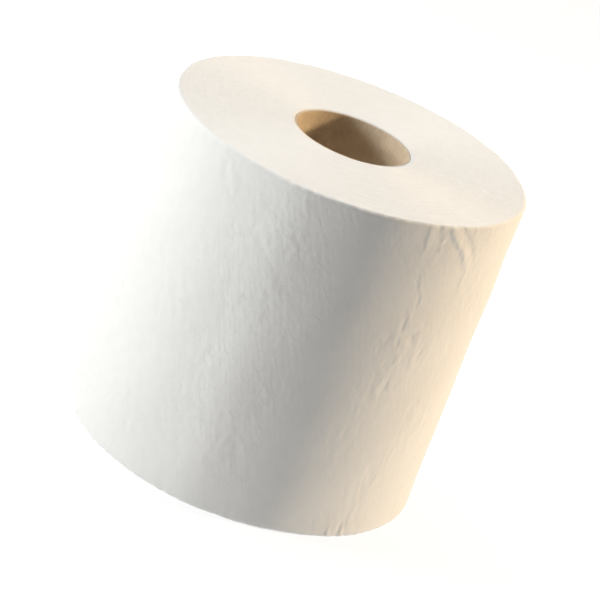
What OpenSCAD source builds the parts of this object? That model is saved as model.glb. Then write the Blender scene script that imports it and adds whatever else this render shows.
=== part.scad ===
// Roll of soft two-ply tissue paper wound on a card core tube, standing on one end.
// The origin is the centre of the lower end and +Z runs up the core's axis.
// The web is wound in a spiral and pressed together, so its turns are one solid.
// They show as bands on both ends, and the last one stops at the tail on the roll's back.

/* [Roll] */
// Diameter over the last turn
roll_d = 119; // [90:1:140]
// Width of the web, which is the height of the standing roll
web_w = 114; // [80:1:140]
// Radius of the soft rim round both ends
rim_r = 1.5; // [0.5:0.1:3]

/* [Web] */
// Thickness of the two-ply sheet, which is the height of the step at the tail
sheet_t = 0.2; // [0.1:0.05:0.5]
// Direction of the tail, counter-clockwise from +X
tail_angle = 80; // [0:5:355]

/* [Turns on the ends] */
// Mean spacing of the bands of turns
band_pitch = 1.9; // [1.8:0.1:6]
// Most that a line between two bands lies off its even place
band_wander = 0.35; // [0:0.05:0.35]
// Width of the line between two bands
line_w = 0.5; // [0.3:0.05:0.8]
// Depth of the line between two bands
line_depth = 0.2; // [0.1:0.05:0.4]

/* [Core tube] */
// Inside diameter of the card tube, which goes over a holder's spindle
core_bore_d = 38; // [30:0.5:50]
// Wall of the card tube
core_wall = 0.8; // [0.5:0.1:2]

/* [Pleats under the upper rim] */
// Radius of a pleat where it starts at the rim
pleat_r = 1.6; // [1:0.1:3]
// Radius of a pleat at its tip, where it dies away into the wall
pleat_tip_r = 0.3; // [0.2:0.05:0.5]

/* [Hidden] */
$fn = 128;

roll_r = roll_d / 2;
core_r = core_bore_d / 2 + core_wall;

// Overlap that lets a cut pass clean through a face
through = 1;

// A wound roll's outline is a spiral: two half circles whose centres lie half a sheet apart.
// They run on smoothly from one to the other and miss by one sheet at the tail.
inner_half_r = roll_r - sheet_t * 3 / 4;
outer_half_r = roll_r - sheet_t / 4;
centre_shift = sheet_t / 4;

// Lines between the bands, from the core out to the rim, unevenly spaced as winding leaves them
band_room = inner_half_r - rim_r - core_r;
line_count = floor(band_room / band_pitch);
first_line_r = core_r + (band_room - (line_count - 1) * band_pitch) / 2;
wander_step = 137.5;
line_radii = [
    for (i = [0 : line_count - 1])
        first_line_r + i * band_pitch + band_wander * sin(i * wander_step)
];

// Pleats in the last turn: angle at the rim, angle at the tip, length down the wall, height
pleats = [
    [-49, -38, 17, 0.7],
    [-53, -47, 9, 0.4],
    [-57, -53, 15, 0.5],
];

// Where a pleat's centre line lies, at its own radius under the wall
function on_wall(angle, r, z) = [r * cos(angle), r * sin(angle), z];

// What is left of a square corner outside a rounded rim
module rim_corner() {
    difference() {
        square(rim_r + through);
        circle(rim_r);
    }
}

// Section of the wound web from the axis out to r, with the band lines moved out by shift
module web_section(r, shift) {
    difference() {
        square([r, web_w]);
        translate([r - rim_r, web_w - rim_r])
            rim_corner();
        translate([r - rim_r, rim_r])
            mirror([0, 1])
                rim_corner();
        for (line_r = line_radii)
            for (end_z = [0, web_w])
                translate([line_r + shift, end_z])
                    polygon([[-line_w / 2, 0], [0, -line_depth], [line_w / 2, 0], [0, line_depth]]);
    }
}

// Both half turns of the spiral, with the tail's step on the +X side
module spiral_body() {
    translate([-centre_shift, 0, 0])
        rotate_extrude(angle = 180)
            web_section(inner_half_r, 0);
    translate([centre_shift, 0, 0])
        rotate([0, 0, 180])
            rotate_extrude(angle = 180)
                web_section(outer_half_r, sheet_t / 2);
}

// One pleat: a ridge that is round and full at the rim and tapers to nothing down the wall
module pleat(rim_angle, tip_angle, length, height) {
    from = on_wall(rim_angle, roll_r - pleat_r + height, web_w - rim_r - pleat_r);
    to = on_wall(tip_angle, roll_r - sheet_t - pleat_tip_r, web_w - rim_r - length);
    run = to - from;
    translate(from) {
        sphere(pleat_r);
        rotate([0, acos(run.z / norm(run)), atan2(run.y, run.x)])
            cylinder(h = norm(run), r1 = pleat_r, r2 = pleat_tip_r);
    }
}

// The wound tissue, with the core's place cut through it
module paper_web() {
    color([0.96, 0.95, 0.93])
        difference() {
            union() {
                rotate([0, 0, tail_angle])
                    spiral_body();
                for (p = pleats)
                    pleat(p[0], p[1], p[2], p[3]);
            }
            translate([0, 0, -through])
                cylinder(h = web_w + 2 * through, r = core_r);
        }
}

// The card tube, cut off with the web so that it ends flush with it
module core_tube() {
    color([0.62, 0.47, 0.33])
        difference() {
            cylinder(h = web_w, r = core_r);
            translate([0, 0, -through])
                cylinder(h = web_w + 2 * through, d = core_bore_d);
        }
}

core_tube();
paper_web();
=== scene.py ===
import math
import random

import bpy
import numpy as np
from mathutils import Matrix, Vector


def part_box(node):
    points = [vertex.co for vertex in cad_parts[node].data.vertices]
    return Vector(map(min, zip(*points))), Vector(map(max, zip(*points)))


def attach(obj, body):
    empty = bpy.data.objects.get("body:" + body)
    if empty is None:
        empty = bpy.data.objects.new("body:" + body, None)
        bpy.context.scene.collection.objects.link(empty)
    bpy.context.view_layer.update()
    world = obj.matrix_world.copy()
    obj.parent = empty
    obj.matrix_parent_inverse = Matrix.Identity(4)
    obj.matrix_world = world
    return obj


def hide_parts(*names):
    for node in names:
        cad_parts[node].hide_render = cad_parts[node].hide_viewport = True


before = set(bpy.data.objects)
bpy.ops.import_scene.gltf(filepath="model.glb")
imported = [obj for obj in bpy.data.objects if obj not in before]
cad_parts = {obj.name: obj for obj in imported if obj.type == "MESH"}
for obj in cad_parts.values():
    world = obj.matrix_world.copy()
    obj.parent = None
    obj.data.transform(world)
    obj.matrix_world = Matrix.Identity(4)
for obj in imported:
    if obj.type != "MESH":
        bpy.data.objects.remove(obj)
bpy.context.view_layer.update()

# Card core: a tube of brown card, two plies wound in a spiral on a mandrel and glued together.
# It is cut off with the roll, so both of its cut edges end flush with the web.
# The web's first turn is glued to its outside, and its bore goes over a holder's spindle.
MM = 0.001
core_low, core_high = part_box("core_tube")
core_r = core_high.x
core_wall = 0.8 * MM
core_length = core_high.z - core_low.z
core_bore_r = core_r - core_wall
core_edge_r = 0.2 * MM
core_rows = 96
core_columns = 192
seam_lead = 82 * MM
seam_start = math.radians(-60)
seam_half_w = 0.7 * MM
seam_depth = 0.16 * MM
ply_step = 0.07 * MM
lap_half_w = 8 * seam_half_w
cut_waver = 0.12 * MM
cut_waver_power = 40


def corner(centre, radius, first, last, steps):
    """Points round a corner of a section, each a distance from the axis and a height."""
    return [
        (centre[0] + radius * math.cos(angle), centre[1] + radius * math.sin(angle))
        for angle in np.radians(np.linspace(first, last, steps + 1))
    ]


def turn_section(name, section, columns, start, gap):
    """A piece turned about Z from a closed section: the outline is extruded from point to point,
    swept round from the start angle until only the gap is left, and bridged across the gap."""
    along = Vector((math.cos(start), math.sin(start), 0))
    points = [along * r + Vector((0, 0, z)) for r, z in section]
    bpy.ops.object.select_all(action="DESELECT")
    bpy.ops.mesh.primitive_plane_add(size=MM, location=points[0])
    piece = bpy.context.object
    piece.name = name
    piece.data.name = name
    bpy.ops.object.mode_set(mode="EDIT")
    bpy.ops.mesh.select_mode(type="VERT")
    bpy.ops.mesh.merge(type="CENTER")
    for here, there in zip(points, points[1:] + points[:1]):
        bpy.ops.mesh.extrude_vertices_move(TRANSFORM_OT_translate={"value": there - here})
    bpy.ops.mesh.select_all(action="SELECT")
    bpy.ops.mesh.remove_doubles(threshold=0.001 * MM)
    bpy.ops.object.mode_set(mode="OBJECT")
    bpy.ops.object.transform_apply(location=True, rotation=True, scale=True)
    sweep = piece.modifiers.new("sweep", "SCREW")
    sweep.axis = "Z"
    sweep.angle = math.tau - gap
    sweep.steps = columns
    sweep.render_steps = columns
    bpy.ops.object.modifier_apply(modifier="sweep")
    bpy.ops.object.mode_set(mode="EDIT")
    bpy.ops.mesh.select_mode(type="EDGE")
    bpy.ops.mesh.select_all(action="DESELECT")
    bpy.ops.mesh.select_non_manifold()
    bpy.ops.mesh.bridge_edge_loops()
    bpy.ops.mesh.select_all(action="SELECT")
    bpy.ops.mesh.normals_make_consistent(inside=False)
    bpy.ops.object.mode_set(mode="OBJECT")
    bpy.ops.object.shade_smooth()
    return piece


def read_places(piece):
    """The places of a piece's vertices, one row each."""
    flat = np.empty(len(piece.data.vertices) * 3, np.float32)
    piece.data.vertices.foreach_get("co", flat)
    return flat.reshape(-1, 3).astype(float)


def write_places(piece, places):
    """Puts the vertices of a piece at these places."""
    piece.data.vertices.foreach_set("co", places.astype(np.float32).ravel())
    piece.data.update()


def bell(distance, half_width):
    """A smooth hump: 1 in its middle and nearly 0 two half widths away."""
    return np.exp(-((distance / half_width) ** 2))


core_section = (
    corner((core_bore_r + core_edge_r, core_edge_r), core_edge_r, 270, 180, 3)
    + [
        (core_bore_r, core_edge_r + (core_length - 2 * core_edge_r) * row / core_rows)
        for row in range(1, core_rows)
    ]
    + corner((core_bore_r + core_edge_r, core_length - core_edge_r), core_edge_r, 180, 90, 3)
    + corner((core_r - core_edge_r, core_length - core_edge_r), core_edge_r, 90, 0, 2)
    + corner((core_r - core_edge_r, core_edge_r), core_edge_r, 0, -90, 2)
)
core = turn_section("card_core", core_section, core_columns, 0, math.tau / (core_columns + 1))

# The seam between two neighbouring strips of the inner ply runs round the bore as a helix.
places = read_places(core)
around = np.arctan2(places[:, 1], places[:, 0])
out = np.hypot(places[:, 0], places[:, 1])
inside = out < core_bore_r + 0.5 * core_edge_r
rise = (around - seam_start) / math.tau * seam_lead
off_seam = (places[:, 2] - core_length - rise + seam_lead / 2) % seam_lead - seam_lead / 2
groove = seam_depth * bell(off_seam, seam_half_w)
lap = ply_step * np.tanh(off_seam / seam_half_w) * bell(off_seam, lap_half_w)
grown = out + np.where(inside, groove + lap, 0)
places[:, 0] *= grown / out
places[:, 1] *= grown / out
# The saw leaves the cut edges a little uneven, and this fades out within a few millimetres.
end_share = np.clip(np.abs(places[:, 2] / core_length - 0.5) * 2, 0, 1) ** cut_waver_power
waver = np.sin(5 * around + 1) + 0.6 * np.sin(13 * around) + 0.4 * np.sin(29 * around + 2)
places[:, 2] -= np.sign(places[:, 2] - core_length / 2) * end_share * cut_waver * (1 + waver / 2) / 2
write_places(core, places)


class Strand:
    """A socket in a finish's node tree. Sums, products and the like of strands add Math nodes there."""

    def __init__(self, tree, socket=None):
        self.tree = tree
        self.socket = socket

    def node(self, kind, settings=None, sockets=None, out=0):
        """The strand from one output of a new node, whose settings are set before its sockets."""
        made = self.tree.nodes.new("ShaderNode" + kind)
        for name, value in (settings or {}).items():
            setattr(made, name, value)
        for name, value in (sockets or {}).items():
            if isinstance(value, Strand):
                self.tree.links.new(value.socket, made.inputs[name])
            else:
                made.inputs[name].default_value = value
        return Strand(self.tree, made.outputs[out])

    def also(self, name):
        """The strand from another output of this strand's node."""
        return Strand(self.tree, self.socket.node.outputs[name])

    def parts(self):
        """The three parts of a vector."""
        split = self.node("SeparateXYZ", sockets={0: self})
        return [Strand(self.tree, part) for part in split.socket.node.outputs]

    def stretched(self, x, y, z):
        """A vector with each of its parts multiplied by its own number."""
        return self.node("VectorMath", {"operation": "MULTIPLY"}, {0: self, 1: (x, y, z)})

    def noise(self, grain, detail=2.0, roughness=0.5):
        """Cloudy noise from 0 to 1 over this vector, with lumps about one grain across."""
        return self.node(
            "TexNoise",
            sockets={"Vector": self, "Scale": 1 / grain, "Detail": detail, "Roughness": roughness},
        )

    def smooth(self, low, high):
        """A soft step: 0 below low and 1 above high."""
        return self.node(
            "MapRange",
            {"interpolation_type": "SMOOTHSTEP"},
            {"Value": self, "From Min": low, "From Max": high},
        )

    def blend(self, first, second):
        """A colour that goes from the first to the second as this strand goes from 0 to 1."""
        return self.node("Mix", {"data_type": "RGBA"}, {0: self, 6: first, 7: second}, out=2)

    def bump(self):
        """The surface's normal, tilted by this height in metres."""
        return self.node("Bump", sockets={"Height": self, "Strength": 1.0, "Distance": 1.0})

    def feed(self, shader, name):
        """Links this strand to a socket of a shader."""
        self.tree.links.new(self.socket, shader.inputs[name])

    def maths(self, operation, *terms):
        """The result of a new Math node on these terms."""
        return self.node("Math", {"operation": operation}, dict(enumerate(terms)))

    def __add__(self, other):
        return self.maths("ADD", self, other)

    def __radd__(self, other):
        return self.maths("ADD", other, self)

    def __sub__(self, other):
        return self.maths("SUBTRACT", self, other)

    def __rsub__(self, other):
        return self.maths("SUBTRACT", other, self)

    def __mul__(self, other):
        return self.maths("MULTIPLY", self, other)

    def __rmul__(self, other):
        return self.maths("MULTIPLY", other, self)

    def __truediv__(self, other):
        return self.maths("DIVIDE", self, other)

    def __pow__(self, other):
        return self.maths("POWER", self, other)

    def __abs__(self):
        return self.maths("ABSOLUTE", self)


def new_finish(piece, name, constants):
    """A finish on a piece: its shader, with the values that are the same all over, and its places."""
    material = bpy.data.materials.new(name)
    material.use_nodes = True
    piece.data.materials.append(material)
    shader = material.node_tree.nodes["Principled BSDF"]
    for socket, value in constants.items():
        shader.inputs[socket].default_value = value
    return shader, Strand(material.node_tree).node("TexCoord", out="Object")


card_shader, card_place = new_finish(core, "brown_card", {"Specular IOR Level": 0.5})
card_brown = (0.73, 0.61, 0.45, 1)
card_dark = (0.52, 0.41, 0.29, 1)
card_pale = (0.66, 0.55, 0.43, 1)
# The card's cut edges get a darker colour that is painted shade: it stands in for the shaded mouth of the
# bore.
card_cut_painted_shade = (0.46, 0.39, 0.31, 1)
fibre = card_place.stretched(1, 1, 0.35).noise(0.5 * MM, 3)
cloud = card_place.noise(5 * MM, 3)
speck = card_place.noise(0.35 * MM, 1).smooth(0.66, 0.74)
card_up = abs(card_place.node("NewGeometry", out="Normal").parts()[2])
cut_edge = card_up.smooth(0.35, 0.8)
card_tone = (fibre * 0.6 + cloud * 0.6 - 0.1).smooth(0.2, 0.85).blend(card_dark, card_brown)
card_tone = (speck * 0.5).blend(card_tone, card_pale)
(cut_edge * (0.7 + 0.3 * fibre)).blend(card_tone, card_cut_painted_shade).feed(card_shader, "Base Color")
(0.5 + 0.16 * fibre).feed(card_shader, "Roughness")
((fibre * 0.03 + cloud * 0.06) * MM).bump().feed(card_shader, "Normal")
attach(core, "root")
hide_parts("core_tube")

# Wound web: one long strip of soft creped tissue, wound tight on the core and cut across on both ends.
# Its turns are pressed into one body and show as faint bands on the ends, with soft rims round them.
# The last turn lies in a spiral and stops at the tail, a cut edge one sheet high down the roll's back.
web_low, web_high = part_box("paper_web")
web_width = web_high.z - web_low.z
sheet = 0.2 * MM
roll_r = (web_high.x - web_low.x + web_high.y - web_low.y) / 4 + sheet / 2
rim_r = 1.2 * MM
rim_steps = 6
band_pitch = 1.9 * MM
band_wander = 0.35 * MM
wander_step = math.radians(137.5)
line_depth = 0.07 * MM
depth_step = 2.3
wall_rows = 96
row_crowding = 0.12
web_columns = 512
column_crowding = 0.4
pleat_angle = math.radians(-60)
tail_angle = math.radians(80)
tail_edge_w = 0.1 * MM
tail_lift_w = 9 * MM
tail_lift = 0.35 * MM

band_room = roll_r - sheet * 3 / 4 - rim_r - core_r
line_count = int(band_room / band_pitch)
first_line_r = core_r + (band_room - (line_count - 1) * band_pitch) / 2
lines = [
    first_line_r + i * band_pitch + band_wander * math.sin(i * wander_step)
    for i in range(line_count)
]
flat_r = roll_r - rim_r
# Along one end, from the core to the rim: the middle of each band lies level, each line a little lower.
end_steps = [(core_r, 0)]
for i, line in enumerate(lines):
    next_line = lines[i + 1] if i + 1 < line_count else flat_r
    end_steps.append((line, line_depth * (0.6 + 0.4 * math.sin(i * depth_step))))
    end_steps.append(((line + next_line) / 2, 0))
# Up the wall the rows lie closer together towards the upper rim, where the pleats will be.
wall_rises = [
    row / wall_rows + row_crowding * math.sin(math.pi * row / wall_rows)
    for row in range(1, wall_rows)
]
web_section = (
    end_steps
    + corner((flat_r, rim_r), rim_r, -90, 0, rim_steps)
    + [(roll_r, rim_r + (web_width - 2 * rim_r) * rise) for rise in wall_rises]
    + corner((flat_r, web_width - rim_r), rim_r, 0, 90, rim_steps)
    + [(r, web_width - depth) for r, depth in reversed(end_steps)]
)
web = turn_section("wound_tissue", web_section, web_columns, tail_angle, tail_edge_w / roll_r)

# The columns move closer together where the pleats will be, and further apart on the other side.
places = read_places(web)
tiny = 1e-5
pleat_turn = (pleat_angle - tail_angle) % math.tau
turned = (np.arctan2(places[:, 1], places[:, 0]) - tail_angle + tiny) % math.tau - tiny
crowding = column_crowding * (np.sin(turned - pleat_turn) + math.sin(pleat_turn))
around = tail_angle + turned - crowding
out = np.hypot(places[:, 0], places[:, 1])
places[:, 0] = out * np.cos(around)
places[:, 1] = out * np.sin(around)

# The spiral: the wall steps in by one sheet just past the tail, and grows back to full size round
# the turn. The tail itself has come a little loose, more in some places than in others.
up = places[:, 2]
wound = (around - tail_angle) / math.tau
girth = math.tau * roll_r
along = wound * girth
on_wall = np.clip((out - flat_r) / rim_r, 0, 1)
sway_waves = 7
sway_spread = 2.6


def sway(size, seed):
    """A smooth uneven field over the wall, mostly from -1 to 1, with swells about one size across."""
    chance = np.random.default_rng(seed)
    field = np.zeros(len(along))
    for _ in range(sway_waves):
        heading = chance.uniform(0, math.tau)
        pace = math.tau / (size * chance.uniform(1.3, 3))
        run = along * math.cos(heading) + up * math.sin(heading)
        field += np.cos(pace * run + chance.uniform(0, math.tau))
    return field / sway_spread


def grow(places, heights):
    """Moves vertices straight out from the axis by their heights."""
    out = np.hypot(places[:, 0], places[:, 1])
    places[:, :2] *= ((out + heights) / out)[:, None]


loose = np.clip(1 - (girth - along) / tail_lift_w, 0, 1) ** 2 * (0.6 + 0.4 * sway(16 * MM, 3))
grow(places, on_wall * (tail_lift * loose - sheet * (1 - wound)))

# Crumples: the sheet is slack, so the wall is covered in small flat patches that each lean their own
# way. They are ragged, longer along the axis, and slant most on the left. Winding has pressed them
# flatter in some places, most of all beside the pleats, where the sheet is pulled smooth.
slant_mean = 0.25
slant_swing = 0.35
most_slant_angle = math.radians(-140)


def slant_at(angle):
    """How far the crumples go round for each step down, at an angle round the roll."""
    return slant_mean + slant_swing * np.cos(angle - most_slant_angle)


girth_warp = along + slant_at(around) * (up - web_width / 2) + 0.9 * MM * sway(3 * MM, 5)
up_warp = up + 1.1 * MM * sway(4 * MM, 6)


def patches(across, tall, tilt, seed):
    """Heights over the wall of patches of about that size, each with its own tilt."""
    sharpness = 26
    chance = np.random.default_rng(seed)
    columns = int(girth / across)
    rows = int(web_width / tall) + 4
    middles = chance.uniform(0.1, 0.9, (columns, rows, 2))
    tilts = chance.normal(0, tilt, (columns, rows, 2)) * (1, across / tall)
    column = np.floor(girth_warp / across).astype(int)
    row = np.floor(up_warp / tall).astype(int) + 2
    weights = np.zeros(len(along))
    heights = np.zeros(len(along))
    for step_across in (-1, 0, 1):
        for step_up in (-1, 0, 1):
            cell = (column + step_across) % columns, np.clip(row + step_up, 0, rows - 1)
            side = girth_warp - (column + step_across + middles[cell][:, 0]) * across
            rise = up_warp - (row - 2 + step_up + middles[cell][:, 1]) * tall
            weight = np.exp(-sharpness * ((side / across) ** 2 + (rise / tall) ** 2))
            weights += weight
            heights += weight * (side * tilts[cell][:, 0] + rise * tilts[cell][:, 1])
    return heights / weights


def past(angle):
    """How far round the roll each vertex lies past an angle, at most half a turn either way."""
    return (around - angle + math.pi) % math.tau - math.pi


def strip(angle, half_width):
    """A smooth strip up the wall, its middle and its half width in degrees."""
    return bell(past(math.radians(angle)), math.radians(half_width))


pulled_smooth = strip(-73, 15)
pressed = np.clip(0.5 + 0.6 * sway(14 * MM, 8), 0.1, 1) * (1 - 0.9 * pulled_smooth)
crumples = patches(3.5 * MM, 5.5 * MM, 0.038, 25) + patches(2.3 * MM, 3.4 * MM, 0.025, 26)
# In a strip on the left, where the roll was gripped, the sheet stands off the turn below.
slack_height = 0.16 * MM
loose_height = 0.65 * MM
slack = slack_height * sway(15 * MM, 9) + loose_height * strip(-99, 9)
wall_share = np.clip((out - flat_r) / (0.6 * rim_r), 0, 1)
grow(places, wall_share * (crumples * pressed + slack))

# Pleats and creases: where the last turn was gripped it is gathered into pleats under the upper rim.
# Sharp creases run down from them, and short ones are scattered over the wall, mostly along the axis.
# Each is a list of points down the wall, an angle in degrees and a height in millimetres.


def beside(line):
    """How far each vertex lies from a line down the wall, counted to its counter-clockwise side,
    and its share of the way along the line."""
    corners = [(math.radians(angle), height * MM) for angle, height in line]
    steps = list(zip(corners, corners[1:]))
    lengths = [math.hypot((b[0] - a[0]) * roll_r, b[1] - a[1]) for a, b in steps]
    nearest = np.full(len(up), np.inf)
    side = np.zeros(len(up))
    share = np.zeros(len(up))
    behind = 0
    for (a, b), length in zip(steps, lengths):
        across = past(a[0]) * roll_r
        rise = up - a[1]
        run = (b[0] - a[0]) * roll_r / length, (b[1] - a[1]) / length
        ahead = np.clip(across * run[0] + rise * run[1], 0, length)
        distance = np.hypot(across - ahead * run[0], rise - ahead * run[1])
        closer = distance < nearest
        nearest = np.where(closer, distance, nearest)
        side = np.where(closer, np.sign(rise * run[0] - across * run[1]) * distance, side)
        share = np.where(closer, (behind + ahead) / sum(lengths), share)
        behind += length
    return side, share


ragged_side = 0.35 * MM * sway(2.5 * MM, 12)


def fold(line, height, width, steep_side):
    """Heights of a fold along a line: a steep flank on the clockwise (-1) or counter-clockwise (1) side
    and a ramp of that width on the other. It comes up over the line's first sixth and dies away over
    its last third. Below 0 it is a valley."""
    side, share = beside(line)
    behind_flank = -steep_side * (side + ragged_side)
    flank = 0.5 + 0.5 * np.tanh(behind_flank / ((0.2 + 0.5 * abs(height)) * MM))
    ramp = np.clip(1 - behind_flank / (width * MM), 0, 1)
    return height * MM * flank * ramp * np.clip(6 * share, 0, 1) * np.clip(3 * (1 - share), 0, 1)


# One crease has a flank on each of its sides.
two_sided = [(-55.8, 84.5), (-53.4, 81.5), (-53.2, 78.7), (-53.8, 77), (-55.5, 75)]
folds = [
    # height and width in millimetres, the steep side and the line
    (0.6, 2.8, -1, [(-51.2, 113.8), (-50.3, 112.3), (-48, 110.2), (-43.3, 105.3), (-38.8, 100.5),
                    (-36.8, 97.5)]),
    (0.16, 2.2, -1, [(-39, 100.5), (-37.5, 98), (-37.6, 93.6), (-36.6, 90), (-37.5, 87)]),
    (-0.28, 2.6, 1, [(-46.5, 118), (-44.3, 112.7), (-41.3, 110.2), (-38.5, 107.3), (-36, 103.5),
                     (-34.5, 99)]),
    (0.2, 3, -1, [(-58, 118), (-57.6, 111.8), (-57.4, 107), (-57.5, 104.5), (-57, 101)]),
    (-0.1, 1.6, 1, [(-55, 117), (-53, 111.3), (-51.7, 108.6), (-50.7, 106.5)]),
    (-0.08, 1, 1, [(-51.6, 108.5), (-50.2, 106), (-49.5, 104)]),
    (-0.1, 1, 1, [(-41.3, 102), (-40.3, 99.5), (-39.5, 97)]),
    (-0.14, 1.5, 1, [(-55.6, 97.5), (-54.9, 94.9), (-53.1, 91.5), (-51.4, 88.1), (-51.4, 86),
                     (-53.5, 84)]),
    (0.12, 1.3, -1, [(-54.5, 95), (-53.1, 91.5), (-51.4, 88.1), (-51.4, 86), (-53.5, 84)]),
    (-0.15, 1.5, 1, two_sided),
    (0.12, 1.3, -1, two_sided),
    (-0.18, 0.9, 1, [(-56.4, 76), (-57.8, 72), (-59.8, 67.5)]),
    (0.06, 0.9, -1, [(-50.4, 101.5), (-51, 98)]),
    (0.06, 0.9, -1, [(-48.4, 103.5), (-49.2, 100.5)]),
    (0.06, 0.9, -1, [(-51.8, 68.5), (-51, 67.2), (-50.6, 65)]),
    (-0.09, 1, 1, [(-46.6, 60.5), (-47.2, 58.5), (-48.1, 56), (-48.8, 54)]),
    (-0.12, 1, 1, [(-55.6, 55), (-56.1, 53.4), (-56.8, 51.5), (-57.5, 50)]),
    (-0.08, 0.9, 1, [(-55.2, 43.5), (-55.3, 40), (-54.3, 37.3), (-54, 35.5)]),
    (-0.1, 0.9, 1, [(-55, 36.5), (-55.7, 35), (-57.2, 33.4), (-58, 32)]),
    (-0.07, 0.8, 1, [(-49.2, 33.5), (-48.8, 32), (-47.4, 29.6), (-47, 28)]),
    (0.16, 1.4, -1, [(-54, 9), (-52.6, 5), (-51, -3)]),
    (-0.24, 1.5, -1, [(-106, 92.5), (-103.2, 89.9), (-101.3, 88.3), (-98.2, 84.9), (-96.8, 82)]),
    (0.12, 1.5, 1, [(-98.6, 86), (-97, 83.4), (-96.3, 80.8), (-95.7, 77.6), (-95.2, 73)]),
    (-0.14, 1.4, -1, [(-103.6, 105.4), (-102.6, 104.4), (-98.7, 100.7), (-97.6, 99)]),
    (-0.1, 1.2, -1, [(-102.8, 100.5), (-99.2, 96.4), (-98.4, 95)]),
    (0.09, 1.3, 1, [(-107, 93), (-106.2, 90.8), (-105.4, 88.4), (-105, 86.5)]),
    (0.08, 1.2, 1, [(-106, 110.5), (-105.4, 108.6), (-104.5, 107), (-104, 105)]),
    (0.14, 1.6, 1, [(-97.6, 112.5), (-96.1, 110.2), (-94.7, 108.8), (-94, 106.5)]),
    (-0.12, 1.3, -1, [(-98.8, 76.5), (-97.4, 74.7), (-95.7, 73.4), (-94.3, 71.5)]),
    (-0.11, 1.3, -1, [(-98, 73), (-97.1, 72), (-95.4, 70.7), (-93.8, 69)]),
    (0.12, 1.3, 1, [(-98.2, 71.8), (-97.2, 69), (-96, 66)]),
    (0.08, 1.2, 1, [(-93.8, 80.8), (-91, 77.6), (-89.2, 75)]),
    (-0.09, 1.1, -1, [(-115, 95), (-113.8, 93.9), (-111.6, 93), (-110.5, 91.5)]),
    (0.08, 1.2, 1, [(-112, 104.5), (-111.1, 101.5), (-110, 98.3), (-109.5, 96)]),
    (-0.08, 1, -1, [(-110.4, 84.5), (-109.3, 82.9), (-108, 80.5)]),
    (0.11, 1.2, 1, [(-121, 80), (-119.5, 75), (-116.5, 76.5)]),
    (-0.13, 1.2, -1, [(-107.5, 52), (-105, 49), (-103, 46.6), (-102.3, 45)]),
    (0.12, 1.2, 1, [(-105, 44.3), (-104, 42.8), (-102.5, 41), (-101.5, 39)]),
    (-0.11, 1.1, -1, [(-97.4, 60.8), (-96.8, 59.3), (-96, 57.6), (-95.5, 56)]),
    (-0.1, 1, -1, [(-95, 50.5), (-94.4, 49), (-92.8, 46), (-92.2, 44.5)]),
    (-0.11, 1, -1, [(-93.2, 49.5), (-92.5, 48.2), (-90.5, 44.8), (-90, 43.5)]),
    (0.12, 1.3, 1, [(-90, 49.8), (-88.4, 48.2), (-86.7, 46.8), (-85, 44.8)]),
    (-0.11, 1.2, -1, [(-87.6, 54.6), (-87, 53.5), (-85.2, 51.2), (-83.3, 48.3), (-82.8, 47)]),
    (-0.09, 1, -1, [(-97.5, 29), (-97, 27.6), (-95.4, 25), (-95, 23.5)]),
    (-0.08, 1, -1, [(-93.3, 30.2), (-92.7, 28.8), (-91.3, 26.5), (-90.8, 25)]),
    (0.1, 1.2, 1, [(-100.3, 26), (-99.5, 24.5), (-97.8, 21.3), (-97.3, 20)]),
]
scattered_creases = 90
crease_step = 2.2
chance = random.Random(11)
for _ in range(scattered_creases):
    angle = chance.uniform(-30, 270)
    height = chance.uniform(14, 112)
    lean = math.degrees(math.atan(slant_at(math.radians(angle)))) + chance.gauss(0, 14)
    line = [(angle, height)]
    for _ in range(chance.randint(2, 4)):
        lean += chance.gauss(0, 16)
        angle += math.degrees(crease_step * math.sin(math.radians(lean)) / (roll_r / MM))
        height -= crease_step * math.cos(math.radians(lean))
        line.append((angle, height))
    folds.append((chance.uniform(-0.05, 0.05), chance.uniform(0.7, 1.3), chance.choice((-1, 1)), line))
for height, width, steep_side, line in folds:
    grow(places, fold(line, height, width, steep_side) * wall_share)

# Ends: the saw leaves them nearly flat, with low swells. Two faint dents run across the turns, where the
# pack's neighbours pressed on the roll, and beside each dent the turns rise a little.
dent_angles = (-167, -3)
dent_depth = 0.2 * MM
dent_half_w = 1.8 * MM
dent_from_r = 22 * MM
dent_to_r = 57 * MM
dent_fade = 8 * MM
swell_offset = 5 * MM
swell_half_w = 3.5 * MM
outer_side = np.where(up > web_width / 2, 1, -1)
end_share = 1 - on_wall
uneven = 0.1 * MM * np.sin(places[:, 0] / (13 * MM) + 1) * np.sin(places[:, 1] / (17 * MM))
uneven += 0.05 * MM * np.sin(places[:, 0] / (6 * MM)) * np.sin(places[:, 1] / (5 * MM) + 2)
for angle in dent_angles:
    aside = past(math.radians(angle))
    reach = np.clip((out - dent_from_r) / dent_fade, 0, 1)
    reach *= np.clip((dent_to_r - out) / dent_fade, 0, 1)
    dent = bell(aside * out, dent_half_w) - 0.5 * bell(aside * out + swell_offset, swell_half_w)
    uneven -= dent_depth * dent * reach * (np.cos(aside) > 0)
places[:, 2] += outer_side * uneven * end_share * np.clip((out - core_r) / (4 * MM), 0, 1)
# Round the rims the cut is ragged.
ragged_w = 2 * MM
rim_share = bell(out - roll_r, ragged_w) * bell(web_width / 2 - np.abs(up - web_width / 2), ragged_w)
places[:, 2] += (0.06 * MM * sway(5 * MM, 14) + 0.07 * MM * sway(1.5 * MM, 15)) * rim_share
places[:, 2] = np.clip(places[:, 2], web_low.z, web_high.z)
write_places(web, places)

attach(web, "root")
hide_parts("paper_web")

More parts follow.
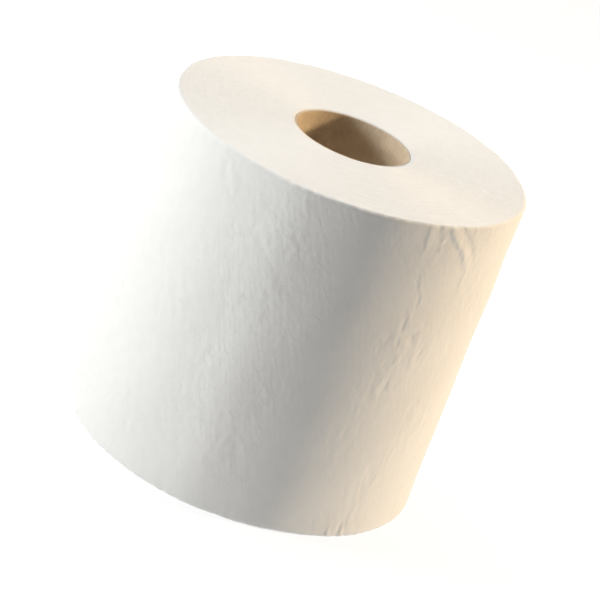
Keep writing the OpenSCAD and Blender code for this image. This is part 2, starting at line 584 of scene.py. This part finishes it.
# Tissue finish: matt, slightly warm white, with fine crepe lines along the axis and cloudy fibre.
# The ends show the edges of the turns, a little uneven from the saw.
web_shader, web_place = new_finish(
    web,
    "soft_tissue",
    {"Specular IOR Level": 0.12, "Sheen Weight": 0.1, "Sheen Roughness": 0.5},
)
tissue_white = (0.757, 0.757, 0.742, 1)
tissue_shade = (0.712, 0.71, 0.692, 1)
x, y, z = web_place.parts()
from_axis = (x * x + y * y) ** 0.5
web_up = abs(web_place.node("NewGeometry", out="Normal").parts()[2])
cut_end = web_up.smooth(0.55, 0.9)
crepe = web_place.stretched(1, 1, 0.12).noise(0.5 * MM, 2)
formation = web_place.noise(3.5 * MM, 4, 0.6)
ring_place = web_place.node(
    "CombineXYZ", sockets={0: from_axis, 1: x / from_axis * MM, 2: y / from_axis * MM}
)
turns = ring_place.noise(0.45 * MM, 3, 0.6)
fibre_dust = web_place.noise(0.4 * MM, 2)
# Flakes: the smallest patches of the crumpled sheet are flat, each with a lean of its own, and meet
# in creases.
flake_size = 1.9 * MM
leaning = web_place.node(
    "VectorRotate", {"rotation_type": "Z_AXIS"}, {"Vector": web_place, "Angle": z * (0.4 / roll_r)}
)
ragged = web_place.node(
    "VectorMath",
    {"operation": "MULTIPLY_ADD"},
    {0: web_place.noise(1.6 * MM, 2).also("Color"), 1: (1.2 * MM,) * 3, 2: leaning.stretched(1, 1, 0.6)},
)


def flake(rank):
    """The nearest (F1) or next (F2) flake to a place: how far off its middle is, and its height."""
    cell = ragged.node("TexVoronoi", {"feature": rank}, {"Vector": ragged, "Scale": 1 / flake_size})
    halves = (0.5, 0.5, 0.5)
    lean = cell.node("VectorMath", {"operation": "SUBTRACT"}, {0: cell.also("Color"), 1: halves})
    offset = cell.node("VectorMath", {"operation": "SUBTRACT"}, {0: ragged, 1: cell.also("Position")})
    return cell, cell.node("VectorMath", {"operation": "DOT_PRODUCT"}, {0: lean, 1: offset}, out="Value")


nearest, nearest_height = flake("F1")
next_one, next_height = flake("F2")
border = (nearest / next_one).smooth(0.5, 1) * 0.5
slack_here = web_place.stretched(1, 1, 0.6).noise(12 * MM, 2).smooth(0.35, 0.65)
# They stand out most down a strip on the left, where the roll was gripped.
grip_angle = math.radians(-101)
gripped = (x * math.cos(grip_angle) + y * math.sin(grip_angle)) / from_axis
gripped = gripped.smooth(0.93, 0.995) * z.smooth(12 * MM, 35 * MM)
flake_steepness = 0.007 + 0.036 * slack_here + 0.03 * gripped
flakes = (nearest_height * (1 - border) + next_height * border) * flake_steepness
wall_normal = (crepe * (0.003 * MM) + flakes).bump()
end_normal = (turns * (0.2 * MM) + fibre_dust * (0.02 * MM)).bump()
shade = formation.smooth(0.35, 0.75) * 0.45 + fibre_dust.smooth(0.4, 0.8) * 0.25
wall_tone = shade.blend(tissue_white, tissue_shade)
end_tone = (shade + turns.smooth(0.35, 0.75) * 0.3).blend(tissue_white, tissue_shade)
wall_normal.feed(web_shader, "Normal")
wall_tone.feed(web_shader, "Base Color")
(0.86 + 0.1 * crepe).feed(web_shader, "Roughness")
# The cut edges of the turns lie side by side like threads, so they shine across their own run.
cut_edges = web_place.node(
    "BsdfPrincipled",
    sockets={
        "Base Color": end_tone,
        "Normal": end_normal,
        "Metallic": 0.14,
        "Roughness": 0.85,
        "Anisotropic": 0.55,
        "Anisotropic Rotation": 0.25,
    },
)
sheet_and_edges = web_place.node(
    "MixShader", sockets={0: cut_end, 1: Strand(web_place.tree, web_shader.outputs[0]), 2: cut_edges}
)
sheet_and_edges.feed(web_place.tree.nodes["Material Output"], "Surface")

# Stage: a plain near-white floor, a white softbox on the left, a small warm lamp on the right and a wide
# softbox above, and a camera that looks down on the roll and is itself turned on its axis.
floor_size = 8
floor_gap = 0.05 * MM
bpy.ops.object.select_all(action="DESELECT")
bpy.ops.mesh.primitive_plane_add(size=floor_size, location=(0, 0, -floor_gap))
floor = bpy.context.object
floor.name = "floor"
floor_shader, floor_place = new_finish(
    floor,
    "floor_white",
    {"Base Color": (0.2, 0.2, 0.2, 1), "Roughness": 1, "Emission Strength": 0.82},
)
# The floor glows with painted light of its own, less in front of the roll, on the right, than under and
# behind it.
floor_x, floor_y, _ = floor_place.parts()
in_front = (floor_x * 0.6 - floor_y * 0.8).smooth(100 * MM, 220 * MM)
in_front.blend((1, 1, 1, 1), (0.66, 0.66, 0.66, 1)).feed(floor_shader, "Emission Color")


def softbox(name, azimuth, elevation, distance, size, power, colour):
    """A square area lamp that faces the middle of the roll from that direction."""
    middle = Vector((0, 0, web_width / 2))
    flat = math.cos(math.radians(elevation))
    direction = Vector(
        (
            flat * math.cos(math.radians(azimuth)),
            flat * math.sin(math.radians(azimuth)),
            math.sin(math.radians(elevation)),
        )
    )
    lamp = bpy.data.lights.new(name, "AREA")
    lamp.size = size
    lamp.energy = power
    lamp.color = colour
    holder = bpy.data.objects.new(name, lamp)
    holder.location = middle + direction * distance
    holder.rotation_euler = (-direction).to_track_quat("-Z", "Y").to_euler()
    bpy.context.scene.collection.objects.link(holder)


lamp_white = (0.98, 0.99, 0.97)
lamp_warm = (1, 0.752, 0.465)
lamp_plain = (1, 1, 1)
softbox("white_softbox", azimuth=-164, elevation=15, distance=0.9, size=0.2, power=5.6, colour=lamp_white)
softbox("warm_lamp", azimuth=14, elevation=21, distance=1.0, size=0.12, power=10.2, colour=lamp_warm)
softbox("top_softbox", azimuth=140, elevation=75, distance=1.0, size=1.0, power=10.2, colour=lamp_plain)

# The room round the stage is white to look at and lights nothing: the lamps and the floor do.
world = bpy.data.worlds.new("studio")
world.use_nodes = True
bpy.context.scene.world = world
world.node_tree.nodes["Background"].inputs["Color"].default_value = (1, 1, 1, 1)
world.node_tree.nodes["Background"].inputs["Strength"].default_value = 1
world.cycles_visibility.diffuse = False
world.cycles_visibility.glossy = False
bpy.context.scene.view_settings.view_transform = "Standard"

camera_distance = 950 * MM
camera_elevation = math.radians(22.25)
camera_pan = math.radians(0.16)
camera_tilt = camera_elevation + math.radians(0.12)
camera_roll = math.radians(20.7)
camera = bpy.data.objects.new("camera", bpy.data.cameras.new("camera"))
camera.data.sensor_width = 36
camera.data.lens = 173.8
camera.data.clip_start = 10 * MM
aim = Vector(
    (
        math.sin(camera_pan) * math.cos(camera_tilt),
        math.cos(camera_pan) * math.cos(camera_tilt),
        -math.sin(camera_tilt),
    )
)
turned_camera = aim.to_track_quat("-Z", "Y").to_matrix() @ Matrix.Rotation(camera_roll, 3, "Z")
camera.matrix_world = turned_camera.to_4x4()
camera.location = (
    0,
    -camera_distance * math.cos(camera_elevation),
    web_width / 2 + camera_distance * math.sin(camera_elevation),
)
bpy.context.scene.collection.objects.link(camera)
bpy.context.scene.camera = camera
